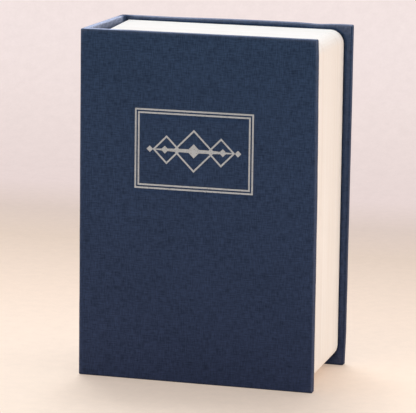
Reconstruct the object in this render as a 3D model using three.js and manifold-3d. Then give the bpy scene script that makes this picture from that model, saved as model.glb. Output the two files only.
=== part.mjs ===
import * as THREE from "three";
import { mergeVertices } from "three/addons/utils/BufferGeometryUtils.js";
import Module from "manifold-3d";

// A book diversion safe, standing upright and closed, in millimetres.
// X runs from the spine to the fore-edge, Y from the front cover to the back cover, Z from tail to head.
// The origin is the middle of the footprint.

// Driving sizes
const HEIGHT = 115;
const WIDTH = 80;
const THICKNESS = 45;
const COVER_BOARD = 2;
const SPINE_BOARD = 1.4;
const CLOTH = 0.25;
const PAPER = 0.2;
const EDGE_ROUND = 0.5;
const TURN_IN = 11;
const HEAD_OVERHANG = 1.7;
const TAIL_OVERHANG = 2.7;
const FORE_OVERHANG = 2.75;
const PLASTIC = 1.6;
const SHEET = 0.8;
const FIXED_GAP = 0.2;
const LID_GAP = 0.4;

// Cover planes
const COVER = COVER_BOARD + 2 * CLOTH;
const SPINE_X = -WIDTH / 2;
const FORE_X = WIDTH / 2;
const FRONT_Y = -THICKNESS / 2;
const BACK_Y = THICKNESS / 2;
const FRONT_INSIDE_Y = FRONT_Y + COVER;
const BACK_INSIDE_Y = BACK_Y - COVER;
const SPINE_INSIDE_X = SPINE_X + SPINE_BOARD + 2 * CLOTH;

// Page block: its outline is given at the back cover. Towards the front its spine side slants away from the
// spine, and the moulding's draft lets its fore-edge and tail grow.
const BLOCK_BACK_Y = BACK_INSIDE_Y - PAPER;
const BLOCK_FRONT_Y = FRONT_INSIDE_Y + PAPER + FIXED_GAP;
const BLOCK_RIM_Y = BLOCK_FRONT_Y + 1.8;
const BLOCK_FLOOR_Y = BLOCK_BACK_Y - PLASTIC;
const BLOCK_SPINE_BACK_X = SPINE_INSIDE_X + 0.15;
const BLOCK_SPINE_SLANT = 3.8;
const BLOCK_DRAFT = 1.1;
const BLOCK_FORE_X = FORE_X - FORE_OVERHANG;
const BLOCK_TAIL_Z = TAIL_OVERHANG;
const BLOCK_HEAD_Z = HEIGHT - HEAD_OVERHANG;
const BLOCK_MIDDLE_Z = (BLOCK_TAIL_Z + BLOCK_HEAD_Z) / 2;
const BLOCK_CORNER = 4.5;
const BLOCK_CORNER_STEPS = 7;
const BLOCK_SPINE_CORNER = 0.5;
const RABBET = 0.8;
const LEAF_COUNT = 30;
const LEAF_GROOVE = 0.12;
const LEAF_GROOVE_WIDTH = 0.3;
const BASE_BAND = 3.8;

// Strips of the page frame between the block's outline and the lid's opening
const SPINE_STRIP = 2.2;
const FORE_STRIP = 3.2;
const END_STRIP = 3.4;

// Steel tray, seated on bosses of the page block's floor
const BOSS_HEIGHT = 2.4;
const TRAY_BACK_Y = BLOCK_FLOOR_Y - BOSS_HEIGHT;
const TRAY_FLOOR_Y = TRAY_BACK_Y - SHEET;
const TRAY_BEND = 1.2;
const LIP = 2.8;

// Lid and hinge: the lid lies just behind the front frame, over the tray's lip
const LID_FRONT_Y = BLOCK_RIM_Y + FIXED_GAP;
const LID_BACK_Y = LID_FRONT_Y + SHEET;
const LIP_FRONT_Y = LID_BACK_Y + FIXED_GAP;
const LIP_BACK_Y = LIP_FRONT_Y + SHEET;
const KNUCKLE = 1.5;
const KNUCKLE_BORE = KNUCKLE - SHEET;
const PIN_RADIUS = KNUCKLE_BORE - 0.05;
const KNUCKLE_COUNT = 7;
const KNUCKLE_GAP = 0.3;
const KNUCKLE_CLEAR = KNUCKLE + 0.3;
const HINGE_FROM_TRAY = 2.9;
const HINGE_END_MARGIN = 2.3;
const ROLL_ANGLE = 290;
const BEAD_WIDTH = 2.6;
const BEAD_HEIGHT = 0.5;

// Lock
const LOCK_X = 23.5;
const LOCK_FLANGE = 8;
const LOCK_FLANGE_THICK = 1.2;
const LOCK_BARREL = 6;
const LOCK_FLAT = 5.2;
const LOCK_FRONT_Y = LID_FRONT_Y - LOCK_FLANGE_THICK;
const LOCK_BACK_Y = LID_FRONT_Y + 9.8;
const PLUG_RADIUS = 4;
const PLUG_HEAD = 5;
const RUNNING = 0.1;
const CAM_THICK = 1.2;
const CAM_REACH = 10;
const CAM_FRONT_Y = LOCK_BACK_Y + 0.3;
const CAM_BACK_Y = CAM_FRONT_Y + CAM_THICK;
const CAM_SQUARE = 5;

// Title panel stamped on the front cover
const RULE_LEFT_X = SPINE_X + 18.9;
const RULE_HEAD_Z = HEIGHT - 25;
const RULE_WIDTH = 40.1;
const RULE_HEIGHT = 26.25;
const RULE_LINE = 0.55;
const RULE_SPACE = 0.5;
const ORNAMENT_WIDTH = 31;
const FOIL = 0.06;

// Finishes
const CLOTH_BLUE = finish(0x2e384b, 0.85);
const GREY_BOARD = finish(0x8f8a80, 0.95);
const ENDPAPER = finish(0xefe9dc, 0.9);
const PAGE_PLASTIC = finish(0xf3ebdd, 0.55);
const BLACK_STEEL = finish(0x1b1c1e, 0.45, 0.4);
const BRIGHT_STEEL = finish(0xb9bcc0, 0.3, 0.9);
const CHROME = finish(0xd5d7da, 0.15, 1);
const BRASS = finish(0xb99a5b, 0.35, 0.9);
const SILVER_FOIL = finish(0xd7d2c8, 0.35, 0.7);

const wasm = await Module();
wasm.setup();

function finish(color, roughness, metalness = 0) {
  return new THREE.MeshStandardMaterial({ color, roughness, metalness });
}

function toSolid(geometry) {
  const bare = geometry.clone();
  bare.deleteAttribute("normal");
  bare.deleteAttribute("uv");
  const merged = mergeVertices(bare, 1e-4);
  const mesh = new wasm.Mesh({
    numProp: 3,
    vertProperties: merged.attributes.position.array,
    triVerts: new Uint32Array(merged.index.array),
  });
  return new wasm.Manifold(mesh);
}

function toGeometry(solid) {
  const mesh = solid.getMesh();
  const geometry = new THREE.BufferGeometry();
  geometry.setAttribute("position", new THREE.BufferAttribute(mesh.vertProperties, 3));
  geometry.setIndex(new THREE.BufferAttribute(mesh.triVerts, 1));
  geometry.computeVertexNormals();
  return geometry;
}

function join(...geometries) {
  return toGeometry(geometries.map(toSolid).reduce((whole, part) => whole.add(part)));
}

function cut(base, ...tools) {
  return toGeometry(tools.map(toSolid).reduce((whole, tool) => whole.subtract(tool), toSolid(base)));
}

function box(x0, x1, y0, y1, z0, z1) {
  const geometry = new THREE.BoxGeometry(x1 - x0, y1 - y0, z1 - z0);
  return geometry.translate((x0 + x1) / 2, (y0 + y1) / 2, (z0 + z1) / 2);
}

// A shape drawn in X and Z, extruded from y0 to y1.
function extrudeY(shape, y0, y1, curveSegments = 8) {
  const geometry = new THREE.ExtrudeGeometry(shape, { depth: y1 - y0, bevelEnabled: false, curveSegments });
  return geometry.rotateX(Math.PI / 2).translate(0, y1, 0);
}

// A shape drawn in X and Y, extruded from z0 to z1.
function extrudeZ(shape, z0, z1, curveSegments = 8) {
  const geometry = new THREE.ExtrudeGeometry(shape, { depth: z1 - z0, bevelEnabled: false, curveSegments });
  return geometry.translate(0, 0, z0);
}

// A solid of revolution about the Y axis, from pairs of radius and y that run from low y to high y outside.
function turned(profile, segments = 24) {
  const points = profile.map(([radius, y]) => new THREE.Vector2(radius, y));
  return new THREE.LatheGeometry(points, segments);
}

function cylinderY(radius, y0, y1, segments = 24) {
  return turned([[0, y0], [radius, y0], [radius, y1], [0, y1]], segments);
}

function rect(x0, x1, z0, z1) {
  return { x0, x1, z0, z1 };
}

function inset(r, d) {
  return rect(r.x0 + d, r.x1 - d, r.z0 + d, r.z1 - d);
}

function cornerArc(x, z, radius, from, steps) {
  return Array.from({ length: steps + 1 }, (_, i) => {
    const angle = THREE.MathUtils.degToRad(from + (90 * i) / steps);
    return [x + radius * Math.cos(angle), z + radius * Math.sin(angle)];
  });
}

// A rectangle's outline at one y, anticlockwise seen from the front, its corners rounded.
function ring(y, r, fore, spine = fore, foreSteps = 5, spineSteps = 2) {
  const flat = [
    ...cornerArc(r.x1 - fore, r.z0 + fore, fore, -90, foreSteps),
    ...cornerArc(r.x1 - fore, r.z1 - fore, fore, 0, foreSteps),
    ...cornerArc(r.x0 + spine, r.z1 - spine, spine, 90, spineSteps),
    ...cornerArc(r.x0 + spine, r.z0 + spine, spine, 180, spineSteps),
  ];
  return flat.map(([x, z]) => [x, y, z]);
}

// Joins rings of equally many points, given from back to front on the outside.
// A closed loft joins its last ring to its first, and an open one gets a fan at each end.
function loft(rings, closed = false) {
  const count = rings[0].length;
  const position = rings.flat(2);
  const index = [];
  const spans = closed ? rings.length : rings.length - 1;
  for (let r = 0; r < spans; r += 1) {
    const a = r * count;
    const b = ((r + 1) % rings.length) * count;
    for (let i = 0; i < count; i += 1) {
      const j = (i + 1) % count;
      index.push(a + i, a + j, b + j);
      index.push(a + i, b + j, b + i);
    }
  }
  if (!closed) {
    for (const [r, turn] of [[0, 1], [rings.length - 1, 0]]) {
      const middle = position.length / 3;
      for (const axis of [0, 1, 2]) {
        position.push(rings[r].reduce((sum, point) => sum + point[axis], 0) / count);
      }
      for (let i = 0; i < count; i += 1) {
        const near = r * count + ((i + turn) % count);
        const far = r * count + ((i + 1 - turn) % count);
        index.push(middle, near, far);
      }
    }
  }
  const geometry = new THREE.BufferGeometry();
  geometry.setAttribute("position", new THREE.Float32BufferAttribute(position, 3));
  geometry.setIndex(index);
  geometry.computeVertexNormals();
  return geometry;
}

function roundedRectShape(r, radius) {
  const shape = new THREE.Shape();
  shape.absarc(r.x1 - radius, r.z0 + radius, radius, -Math.PI / 2, 0);
  shape.absarc(r.x1 - radius, r.z1 - radius, radius, 0, Math.PI / 2);
  shape.absarc(r.x0 + radius, r.z1 - radius, radius, Math.PI / 2, Math.PI);
  shape.absarc(r.x0 + radius, r.z0 + radius, radius, Math.PI, 1.5 * Math.PI);
  shape.closePath();
  return shape;
}

const SLAB_CORNER = EDGE_ROUND + 0.05;

// A cloth-covered panel's outer form: a slab with every edge and corner rounded.
function roundedSlab(r, y0, y1) {
  const steps = 3;
  const rings = [];
  const addRing = (y, angle) => {
    const back = EDGE_ROUND * (1 - Math.sin(angle));
    const corner = SLAB_CORNER - back;
    rings.push(ring(y, inset(r, back), corner, corner, steps, steps));
  };
  for (let k = 0; k <= steps; k += 1) {
    const angle = (k / steps) * (Math.PI / 2);
    addRing(y1 - EDGE_ROUND * (1 - Math.cos(angle)), angle);
  }
  for (let k = steps; k >= 0; k -= 1) {
    const angle = (k / steps) * (Math.PI / 2);
    addRing(y0 + EDGE_ROUND * (1 - Math.cos(angle)), angle);
  }
  return loft(rings);
}

const safe = new THREE.Group();

function piece(name, geometry, material, parent = safe) {
  const mesh = new THREE.Mesh(geometry, material);
  mesh.name = name;
  parent.add(mesh);
  return mesh;
}

// Covers
const COVER_RECT = rect(SPINE_X, FORE_X, 0, HEIGHT);
const BOARD_CORNER = 0.5;
const TURNED = TURN_IN + CLOTH;
const CLOTH_WINDOW = rect(SPINE_X + 1.5, FORE_X - TURNED, TURNED, HEIGHT - TURNED);
const JOINT_REACH = 2.9;
const PAD_GAP = 0.1;

function coverBoard(y0) {
  return extrudeY(roundedRectShape(inset(COVER_RECT, CLOTH), BOARD_CORNER), y0, y0 + COVER_BOARD, 2);
}

// The free stretch of cloth over a crease: an outer skin that reaches from the cover's edge onto the spine.
function jointStrip(creaseY, side) {
  const coverEnd = creaseY - side * (COVER - EDGE_ROUND);
  const spineEnd = creaseY + side * JOINT_REACH;
  const y0 = Math.min(coverEnd, spineEnd);
  const y1 = Math.max(coverEnd, spineEnd);
  return box(SPINE_X, SPINE_X + CLOTH, y0, y1, EDGE_ROUND, HEIGHT - EDGE_ROUND);
}

function coverCloth(y0, insideY, strip) {
  const slab = roundedSlab(COVER_RECT, y0, y0 + COVER);
  const w = CLOTH_WINDOW;
  const window = box(w.x0, w.x1, insideY - CLOTH, insideY + CLOTH, w.z0, w.z1);
  return cut(slab, coverBoard(y0 + CLOTH), window, strip);
}

function pastedown(outlineShape, sheetY0, padY0) {
  const pad = inset(CLOTH_WINDOW, PAD_GAP);
  const padBox = box(pad.x0, pad.x1, padY0, padY0 + CLOTH, pad.z0, pad.z1);
  return join(extrudeY(outlineShape, sheetY0, sheetY0 + PAPER, 3), padBox);
}

function stamped(shape, curveSegments) {
  return extrudeY(shape, FRONT_Y, FRONT_Y + FOIL, curveSegments);
}

function ruleFrame(r) {
  const shape = roundedRectShape(r, 0.1);
  shape.holes.push(roundedRectShape(inset(r, RULE_LINE), 0.05));
  return stamped(shape, 1);
}

// A printer's swelled rule: a line that is widest in its middle and ends in points.
function swelledRule(length, width) {
  const shape = new THREE.Shape();
  shape.moveTo(-length / 2, 0);
  shape.quadraticCurveTo(0, -width, length / 2, 0);
  shape.quadraticCurveTo(0, width, -length / 2, 0);
  return stamped(shape, 12);
}

function lozengeShape(width, height) {
  const shape = new THREE.Shape();
  shape.moveTo(-width / 2, 0);
  shape.lineTo(0, -height / 2);
  shape.lineTo(width / 2, 0);
  shape.lineTo(0, height / 2);
  shape.closePath();
  return shape;
}

// A lozenge drawn as a line, so wide that it looks as heavy as the rules
function hollowLozenge(size) {
  const line = RULE_LINE * Math.SQRT2;
  const shape = lozengeShape(size, size);
  shape.holes.push(lozengeShape(size - 2 * line, size - 2 * line));
  return stamped(shape);
}

// Three linked lozenges with filled hearts on one swelled rule, in the middle of the title panel
function ornament() {
  const linkX = 9.2;
  const heartX = 9.8;
  const endX = 14.9;
  const parts = [swelledRule(ORNAMENT_WIDTH, 1.2), hollowLozenge(14), stamped(lozengeShape(4.6, 4.6))];
  for (const side of [-1, 1]) {
    parts.push(hollowLozenge(9.5).translate(side * linkX, 0, 0));
    parts.push(stamped(lozengeShape(2.6, 2.6)).translate(side * heartX, 0, 0));
    parts.push(stamped(lozengeShape(2.2, 2.2)).translate(side * endX, 0, 0));
  }
  const middle = [RULE_LEFT_X + RULE_WIDTH / 2, 0, RULE_HEAD_Z - RULE_HEIGHT / 2];
  return join(...parts).translate(...middle);
}

const LEAF_MARGIN = 3.2;

function addFrontCover() {
  const strip = jointStrip(FRONT_INSIDE_Y, 1);
  const outerRule = rect(RULE_LEFT_X, RULE_LEFT_X + RULE_WIDTH, RULE_HEAD_Z - RULE_HEIGHT, RULE_HEAD_Z);
  const rules = [ruleFrame(outerRule), ruleFrame(inset(outerRule, RULE_LINE + RULE_SPACE))];
  const filling = ornament();
  const cloth = coverCloth(FRONT_Y, FRONT_INSIDE_Y, strip);
  const leaf = rect(SPINE_X + 1.2, FORE_X - LEAF_MARGIN, LEAF_MARGIN, HEIGHT - LEAF_MARGIN);
  const leafShape = roundedRectShape(leaf, 0.3);

  piece("front_board", coverBoard(FRONT_Y + CLOTH), GREY_BOARD);
  piece("front_cloth", cut(cloth, ...rules, filling), CLOTH_BLUE);
  piece("front_pastedown", pastedown(leafShape, FRONT_INSIDE_Y, FRONT_INSIDE_Y - CLOTH), ENDPAPER);
  piece("front_joint_cloth", strip, CLOTH_BLUE);
  piece("foil_rule_outer", rules[0], SILVER_FOIL);
  piece("foil_rule_inner", rules[1], SILVER_FOIL);
  piece("foil_ornament", filling, SILVER_FOIL);
}

function addBackCover() {
  const strip = jointStrip(BACK_INSIDE_Y, -1);
  const leafShape = roundedRectShape(inset(blockRect(BLOCK_BACK_Y), 0.6), BLOCK_CORNER);

  piece("back_board", coverBoard(BACK_INSIDE_Y + CLOTH), GREY_BOARD);
  piece("back_cloth", coverCloth(BACK_INSIDE_Y, BACK_INSIDE_Y, strip), CLOTH_BLUE);
  piece("back_pastedown", pastedown(leafShape, BLOCK_BACK_Y, BACK_INSIDE_Y), ENDPAPER);
  piece("back_joint_cloth", strip, CLOTH_BLUE);
}

// Spine: a board wrapped at head and tail, lined with paper between the turn-ins
function addSpine() {
  const spineGap = 0.2;
  const y0 = FRONT_INSIDE_Y + spineGap;
  const y1 = BACK_INSIDE_Y - spineGap;
  const slab = roundedSlab(rect(SPINE_X, SPINE_INSIDE_X, 0, HEIGHT), y0, y1);
  const boardRect = rect(SPINE_X + CLOTH, SPINE_INSIDE_X - CLOTH, CLOTH, HEIGHT - CLOTH);
  const board = extrudeY(roundedRectShape(boardRect, BOARD_CORNER), y0 + CLOTH, y1 - CLOTH, 2);
  const w = CLOTH_WINDOW;
  const window = box(SPINE_INSIDE_X - CLOTH, SPINE_INSIDE_X + CLOTH, y0 + CLOTH, y1 - CLOTH, w.z0, w.z1);
  const strips = [jointStrip(FRONT_INSIDE_Y, 1), jointStrip(BACK_INSIDE_Y, -1)];
  const lining = box(
    SPINE_INSIDE_X - CLOTH,
    SPINE_INSIDE_X,
    y0 + CLOTH + PAD_GAP,
    y1 - CLOTH - PAD_GAP,
    w.z0 + PAD_GAP,
    w.z1 - PAD_GAP,
  );
  piece("spine_board", board, GREY_BOARD);
  piece("spine_cloth", cut(slab, board, window, ...strips), CLOTH_BLUE);
  piece("spine_lining", lining, ENDPAPER);
}

// Page block
function blockRect(y) {
  const share = (BLOCK_BACK_Y - y) / (BLOCK_BACK_Y - BLOCK_FRONT_Y);
  const spineX = BLOCK_SPINE_BACK_X + BLOCK_SPINE_SLANT * share;
  const growth = BLOCK_DRAFT * share;
  return rect(spineX, BLOCK_FORE_X + growth, BLOCK_TAIL_Z - growth, BLOCK_HEAD_Z);
}

// The block's outline at one level: insetAll moves every side in, leafDepth only the three leaf sides.
function blockRing(y, insetAll, leafDepth = 0) {
  const r = inset(blockRect(y), insetAll);
  const leaves = rect(r.x0, r.x1 - leafDepth, r.z0 + leafDepth, r.z1 - leafDepth);
  const corner = BLOCK_CORNER - insetAll - leafDepth;
  return ring(y, leaves, corner, BLOCK_SPINE_CORNER, BLOCK_CORNER_STEPS);
}

const SCREW_PLACES = [-24, 27].flatMap((x) => [14, 102].map((z) => [x, z]));
const SCREW_RADIUS = 1.35;
const SCREW_FLOOR = 0.7;

// A slightly tapered post under the tray, sunk a little into the block's floor
function boss() {
  const foot = BLOCK_FLOOR_Y + 0.2;
  return turned([[0, TRAY_BACK_Y], [3.2, TRAY_BACK_Y], [3.6, foot], [0, foot]], 16);
}

function addPageBlock() {
  const chamfer = 0.3;
  const rings = [blockRing(BLOCK_BACK_Y, chamfer), blockRing(BLOCK_BACK_Y - chamfer, 0)];
  const leavesFrom = BLOCK_BACK_Y - BASE_BAND;
  const pitch = (leavesFrom - BLOCK_RIM_Y) / LEAF_COUNT;
  for (let i = 0; i < LEAF_COUNT; i += 1) {
    const y = leavesFrom - i * pitch;
    const depth = i === 0 ? 2 * LEAF_GROOVE : LEAF_GROOVE;
    rings.push(blockRing(y + LEAF_GROOVE_WIDTH / 2, 0));
    rings.push(blockRing(y, 0, depth));
    rings.push(blockRing(y - LEAF_GROOVE_WIDTH / 2, 0));
  }
  rings.push(blockRing(BLOCK_RIM_Y, 0));
  rings.push(blockRing(BLOCK_RIM_Y, RABBET));
  rings.push(blockRing(BLOCK_RIM_Y - RABBET, RABBET));
  rings.push(blockRing(BLOCK_RIM_Y - RABBET, PLASTIC));
  rings.push(blockRing(BLOCK_FLOOR_Y, PLASTIC));
  const bosses = [];
  const holes = [];
  for (const [x, z] of SCREW_PLACES) {
    const hole = cylinderY(SCREW_RADIUS + RUNNING, TRAY_BACK_Y - 1, BLOCK_BACK_Y - SCREW_FLOOR, 12);
    bosses.push(boss().translate(x, 0, z));
    holes.push(hole.translate(x, 0, z));
  }
  piece("page_block", cut(join(loft(rings), ...bosses), ...holes), PAGE_PLASTIC);
}

const FRAME_OPENING = rect(
  blockRect(BLOCK_FRONT_Y).x0 + SPINE_STRIP,
  BLOCK_FORE_X - FORE_STRIP,
  BLOCK_TAIL_Z + END_STRIP,
  BLOCK_HEAD_Z - END_STRIP,
);

function addPageFrame() {
  const chamfer = 0.3;
  const fit = 0.1;
  const opening = (y, d) => ring(y, inset(FRAME_OPENING, d), 1.5, 1.5, BLOCK_CORNER_STEPS);
  const rings = [
    blockRing(BLOCK_RIM_Y, 0),
    blockRing(BLOCK_FRONT_Y + chamfer, 0),
    blockRing(BLOCK_FRONT_Y, chamfer),
    opening(BLOCK_FRONT_Y, -chamfer),
    opening(BLOCK_FRONT_Y + chamfer, 0),
    opening(BLOCK_RIM_Y, 0),
    blockRing(BLOCK_RIM_Y, PLASTIC + fit),
    blockRing(BLOCK_RIM_Y - RABBET - fit, PLASTIC + fit),
    blockRing(BLOCK_RIM_Y - RABBET - fit, RABBET - fit),
    blockRing(BLOCK_RIM_Y, RABBET - fit),
  ];
  piece("page_frame", loft(rings, true), PAGE_PLASTIC);
}

// Hinge along the spine side of the lid: tray and lid knuckles take turns on one pin
const TRAY_RECT = rect(
  blockRect(BLOCK_FRONT_Y).x0 + PLASTIC + FIXED_GAP,
  BLOCK_FORE_X - PLASTIC - FIXED_GAP,
  BLOCK_TAIL_Z + PLASTIC + FIXED_GAP,
  BLOCK_HEAD_Z - PLASTIC - FIXED_GAP,
);
const HINGE_X = TRAY_RECT.x0 + HINGE_FROM_TRAY;
const HINGE_Y = LID_FRONT_Y + KNUCKLE;
const LID_RECT = rect(
  HINGE_X,
  FRAME_OPENING.x1 - LID_GAP,
  FRAME_OPENING.z0 + LID_GAP,
  FRAME_OPENING.z1 - LID_GAP,
);
const HINGE_LOW_Z = LID_RECT.z0 + HINGE_END_MARGIN;
const HINGE_HIGH_Z = LID_RECT.z1 - HINGE_END_MARGIN;
const KNUCKLE_PITCH = (HINGE_HIGH_Z - HINGE_LOW_Z + KNUCKLE_GAP) / KNUCKLE_COUNT;

function knuckleSpan(i) {
  const z0 = HINGE_LOW_Z + i * KNUCKLE_PITCH;
  return [z0, z0 + KNUCKLE_PITCH - KNUCKLE_GAP];
}

const TRAY_KNUCKLES = Array.from({ length: KNUCKLE_COUNT }, (_, i) => i).filter((i) => i % 2 === 0);
const LID_KNUCKLES = Array.from({ length: KNUCKLE_COUNT }, (_, i) => i).filter((i) => i % 2 === 1);

// A sheet's edge rolled round the pin. The sheet comes in along X, with its outer face towards the front.
function rolledEdge(tail) {
  const start = -Math.PI / 2;
  const end = start - THREE.MathUtils.degToRad(ROLL_ANGLE);
  const shape = new THREE.Shape();
  shape.moveTo(tail, -KNUCKLE);
  shape.lineTo(0, -KNUCKLE);
  shape.absarc(0, 0, KNUCKLE, start, end, true);
  shape.lineTo(KNUCKLE_BORE * Math.cos(end), KNUCKLE_BORE * Math.sin(end));
  shape.absarc(0, 0, KNUCKLE_BORE, end, start, false);
  shape.lineTo(tail, -KNUCKLE_BORE);
  shape.closePath();
  return shape;
}

function addHingePin() {
  const proud = 0.4;
  const chamfer = 0.25;
  const z0 = HINGE_LOW_Z - proud;
  const z1 = HINGE_HIGH_Z + proud;
  const profile = [
    [0, z0],
    [PIN_RADIUS - chamfer, z0],
    [PIN_RADIUS, z0 + chamfer],
    [PIN_RADIUS, z1 - chamfer],
    [PIN_RADIUS - chamfer, z1],
    [0, z1],
  ];
  const rod = turned(profile, 16).rotateX(Math.PI / 2);
  piece("hinge_pin", rod.translate(HINGE_X, HINGE_Y, 0), BRIGHT_STEEL);
}

// Steel tray: a drawn pan with an inward lip on three sides and rolled knuckles on the fourth
function trayRing(y, d) {
  return ring(y, inset(TRAY_RECT, d), BLOCK_CORNER - PLASTIC - FIXED_GAP - d, TRAY_BEND + SHEET - d);
}

function addTray() {
  const lipEdge = inset(TRAY_RECT, SHEET + LIP);
  const lipRound = 0.4;
  const rings = [0, 30, 60, 90].map((degrees) => {
    const angle = THREE.MathUtils.degToRad(degrees);
    return trayRing(TRAY_BACK_Y - TRAY_BEND * (1 - Math.cos(angle)), TRAY_BEND * (1 - Math.sin(angle)));
  });
  rings.push(trayRing(LIP_BACK_Y, 0));
  rings.push(trayRing(LIP_FRONT_Y, lipRound));
  rings.push(ring(LIP_FRONT_Y, lipEdge, 1));
  rings.push(ring(LIP_BACK_Y, lipEdge, 1));
  rings.push(trayRing(LIP_BACK_Y, SHEET));
  rings.push(trayRing(TRAY_FLOOR_Y - (TRAY_BEND - SHEET), SHEET));
  rings.push(trayRing(TRAY_FLOOR_Y, TRAY_BEND));

  const { z0, z1 } = lipEdge;
  const webFrontY = HINGE_Y + KNUCKLE_BORE;
  const webBackY = HINGE_Y + KNUCKLE;
  const spineLip = box(TRAY_RECT.x0 - 1, lipEdge.x0 + 0.1, LIP_FRONT_Y - 1, webFrontY, z0, z1);
  const web = box(TRAY_RECT.x0, HINGE_X - KNUCKLE_CLEAR, webFrontY, webBackY, z0, z1);
  const knuckles = TRAY_KNUCKLES.map((i) => {
    const roll = extrudeZ(rolledEdge(HINGE_X - TRAY_RECT.x0), ...knuckleSpan(i));
    return roll.rotateZ(Math.PI).translate(HINGE_X, HINGE_Y, 0);
  });
  const holes = SCREW_PLACES.map(([x, z]) =>
    cylinderY(SCREW_RADIUS + 0.25, TRAY_FLOOR_Y - 1, TRAY_BACK_Y + 1, 12).translate(x, 0, z),
  );
  piece("steel_tray", cut(join(cut(loft(rings), spineLip), web, ...knuckles), ...holes), BLACK_STEEL);
}

// The cross recess of a screw's head
function crossRecess(y0, y1) {
  const arm = 1.4;
  const slot = 0.3;
  return [box(-arm, arm, y0, y1, -slot, slot), box(-slot, slot, y0, y1, -arm, arm)];
}

function addTrayScrews() {
  const headHeight = 1.5;
  const headRadius = 2.6;
  const top = TRAY_FLOOR_Y - headHeight;
  const tip = BLOCK_BACK_Y - SCREW_FLOOR - 0.3;
  const profile = [
    [0, top],
    [headRadius - 1.1, top],
    [headRadius - 0.2, top + 0.5],
    [headRadius, TRAY_FLOOR_Y],
    [SCREW_RADIUS, TRAY_FLOOR_Y],
    [SCREW_RADIUS, tip - 0.8],
    [0.3, tip],
    [0, tip],
  ];
  const recess = crossRecess(top - 1, top + 0.8);
  SCREW_PLACES.forEach(([x, z], i) => {
    const screw = piece(`tray_screw_${i + 1}`, cut(turned(profile, 16), ...recess), BRIGHT_STEEL);
    screw.position.set(x, 0, z);
  });
}

// The cam goes behind the tongue of this angle, welded to the tray's fore-edge wall.
function addStrike() {
  const camClear = 0.4;
  const tongueLength = 4.1;
  const legLength = 6.9;
  const wallX = TRAY_RECT.x1 - SHEET;
  const tongueBackY = CAM_FRONT_Y - camClear;
  const tongueX = wallX - tongueLength;
  const legFrontY = tongueBackY - legLength;
  const bend = 1;
  const shape = new THREE.Shape();
  shape.moveTo(wallX, legFrontY);
  shape.lineTo(wallX, tongueBackY - bend);
  shape.absarc(wallX - bend, tongueBackY - bend, bend, 0, Math.PI / 2, false);
  shape.lineTo(tongueX, tongueBackY);
  shape.lineTo(tongueX, tongueBackY - SHEET);
  shape.lineTo(wallX - bend, tongueBackY - SHEET);
  shape.absarc(wallX - bend, tongueBackY - bend, bend - SHEET, Math.PI / 2, 0, true);
  shape.lineTo(wallX - SHEET, legFrontY);
  shape.closePath();
  const halfWidth = 8;
  piece("strike", extrudeZ(shape, BLOCK_MIDDLE_Z - halfWidth, BLOCK_MIDDLE_Z + halfWidth, 3), BRIGHT_STEEL);
}

// The barrel's round section with two flats, as the lid's hole has it.
function doubleD(radius, flat, y0, y1) {
  const big = radius + 5;
  const above = box(-big, big, y0 - 1, y1 + 1, flat, big);
  const below = box(-big, big, y0 - 1, y1 + 1, -big, -flat);
  return cut(cylinderY(radius, y0, y1), above, below);
}

// A bead pressed into the lid beside the lock, to stiffen it: raised in front and hollow behind.
// It rises by its height from the sheet face at baseY, and starts a little inside the sheet.
function bead(baseY) {
  const corner = 5;
  const slope = 0.7;
  const past = baseY + 0.1;
  const crestY = baseY - BEAD_HEIGHT;
  const field = rect(HINGE_X + 5, LOCK_X - LOCK_FLANGE - 3, LID_RECT.z0 + 8, LID_RECT.z1 - 8);
  const level = (y, d) => ring(y, inset(field, d), corner - d, corner - d, 5, 5);
  const outside = [level(past, 0), level(baseY, 0), level(crestY, slope)];
  const within = [level(crestY, BEAD_WIDTH - slope), level(baseY, BEAD_WIDTH), level(past, BEAD_WIDTH)];
  return loft([...outside, ...within], true);
}

function addLid() {
  const flat = extrudeY(roundedRectShape(LID_RECT, 1.5), LID_FRONT_Y, LID_BACK_Y, 3);
  const plate = cut(join(flat, bead(LID_FRONT_Y)), bead(LID_BACK_Y));
  const notches = TRAY_KNUCKLES.map((i) => {
    const [z0, z1] = knuckleSpan(i);
    const low = i === 0 ? LID_RECT.z0 - 1 : z0 - KNUCKLE_GAP;
    const high = i === KNUCKLE_COUNT - 1 ? LID_RECT.z1 + 1 : z1 + KNUCKLE_GAP;
    return box(HINGE_X - 1, HINGE_X + KNUCKLE_CLEAR, LID_FRONT_Y - 1, LID_BACK_Y + 1, low, high);
  });
  const knuckles = LID_KNUCKLES.map((i) =>
    extrudeZ(rolledEdge(KNUCKLE_CLEAR + 0.5), ...knuckleSpan(i)).translate(HINGE_X, HINGE_Y, 0),
  );
  const hole = doubleD(LOCK_BARREL + RUNNING, LOCK_FLAT + RUNNING, LID_FRONT_Y - 1, LID_BACK_Y + 1);
  const lockHole = hole.translate(LOCK_X, 0, BLOCK_MIDDLE_Z);
  piece("lid", cut(join(cut(plate, ...notches), ...knuckles), lockHole), BLACK_STEEL);
}

// Lock: its pieces stand round their own axis in a group at the lock's place
const STOP_FRONT_Y = LOCK_BACK_Y - 2;
const STOP_LUG_HALF = 14;
const STOP_FREE = 4;

// A ring sector about the Y axis, from one angle to another in degrees. 0 is along X, 90 along Z.
function sector(inner, outer, from, to, y0, y1) {
  const a0 = THREE.MathUtils.degToRad(from);
  const a1 = THREE.MathUtils.degToRad(to);
  const shape = new THREE.Shape();
  shape.absarc(0, 0, outer, a0, a1, false);
  shape.absarc(0, 0, inner, a1, a0, true);
  shape.closePath();
  return extrudeY(shape, y0, y1, 5);
}

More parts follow.
